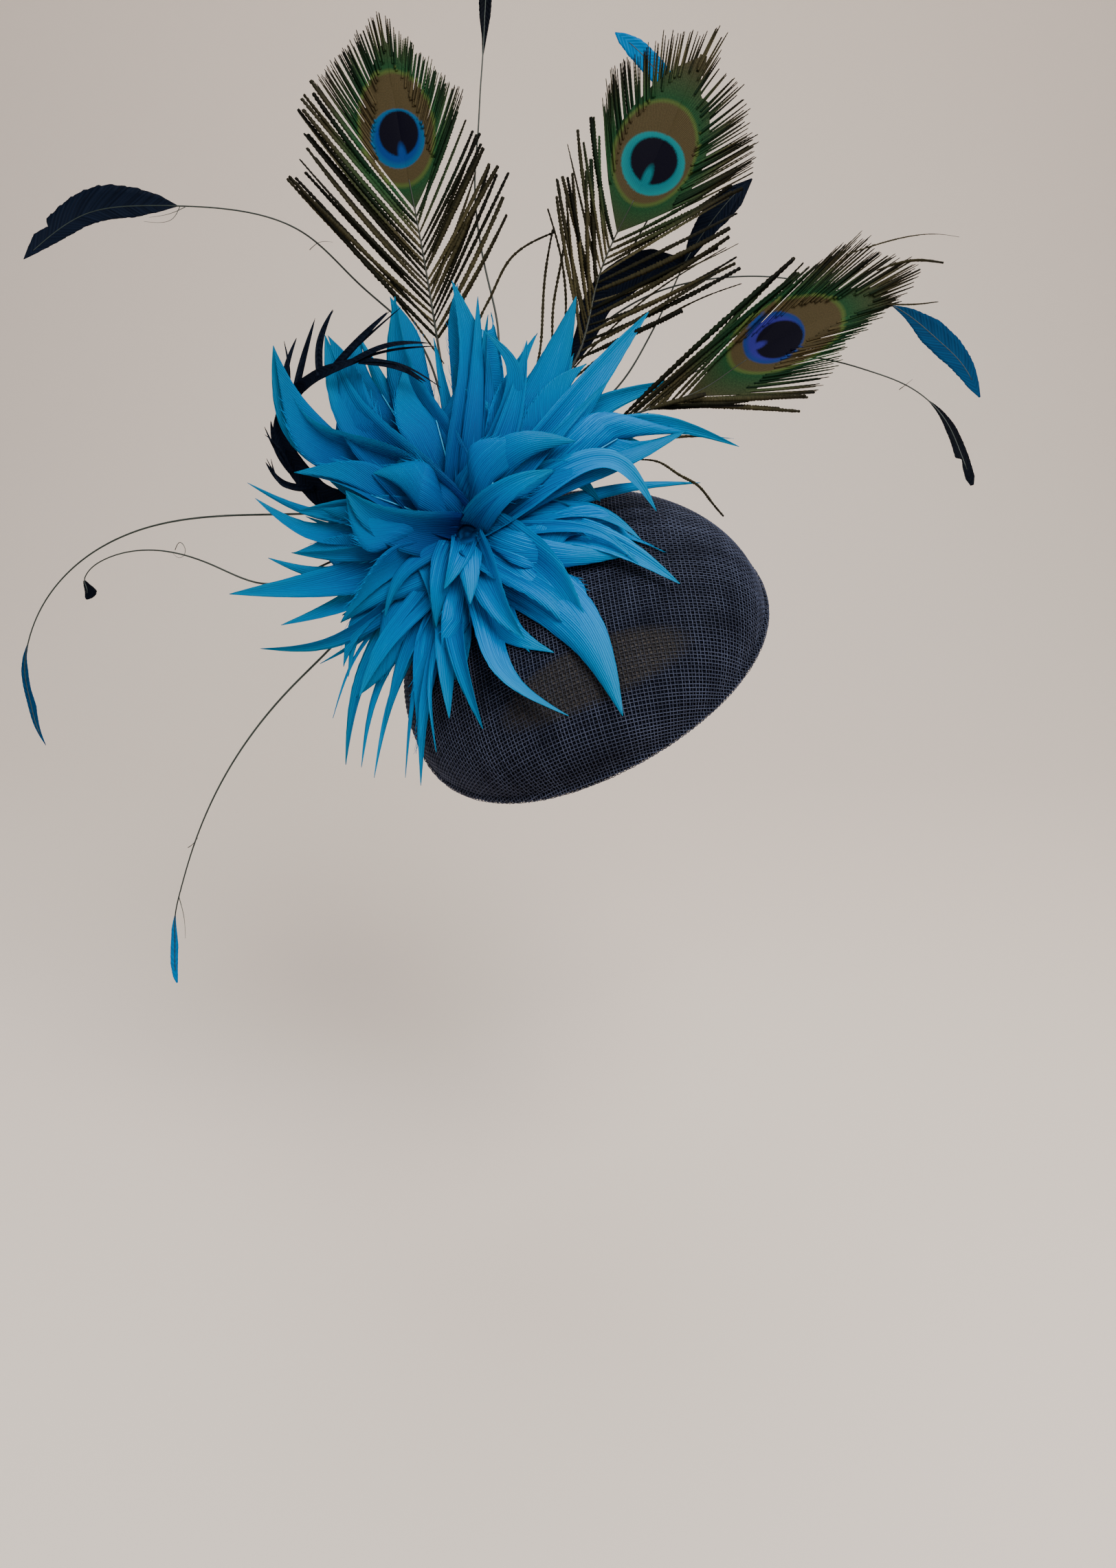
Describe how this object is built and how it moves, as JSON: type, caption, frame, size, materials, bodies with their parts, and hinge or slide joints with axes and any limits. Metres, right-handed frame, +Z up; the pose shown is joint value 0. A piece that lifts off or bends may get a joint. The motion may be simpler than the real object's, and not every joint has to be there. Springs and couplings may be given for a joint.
{
  "type": "fascinator",
  "caption": "Fascinator: a domed round base of stiffened straw cloth with a comb inside, a curled blue feather flower, peacock eye feathers and stripped feathers on bare quills.",
  "frame": {"origin": "centre of the plane of the base's rim, where the worn fascinator sits on the head", "axes": "as worn: +Z up, +X the wearer's left as the front view shows it, +Y from the viewer to the back; the base is tipped 35.6 degrees toward the wearer's right side and front"},
  "size_m": [0.3805, 0.1716, 0.3734],
  "materials": {
    "navy_straw": "open woven straw cloth, stiffened, semi-matt",
    "comb_plastic": "moulded, satin",
    "blue_feather": "dyed goose feather, soft sheen",
    "teal_feather": "dyed stripped feather, soft sheen",
    "navy_feather": "dyed stripped feather, soft sheen",
    "peacock_feather": "natural iridescent peacock feather"
  },
  "bodies": {
    "root": {"base_shell": "navy_straw", "dark_feather": "navy_feather", "feather_flower": "blue_feather", "hair_comb": "comb_plastic", "peacock_feather_1": "peacock_feather", "peacock_feather_2": "peacock_feather", "peacock_feather_3": "peacock_feather", "spiked_feather": "navy_feather", "stripped_feather_1": "navy_feather", "stripped_feather_2": "navy_feather", "stripped_feather_3": "teal_feather", "stripped_feather_4": "navy_feather", "stripped_feather_5": "teal_feather", "stripped_feather_6": "navy_feather", "stripped_feather_7": "teal_feather", "stripped_feather_8": "navy_feather", "stripped_feather_9": "teal_feather"}
  },
  "joints": []
}
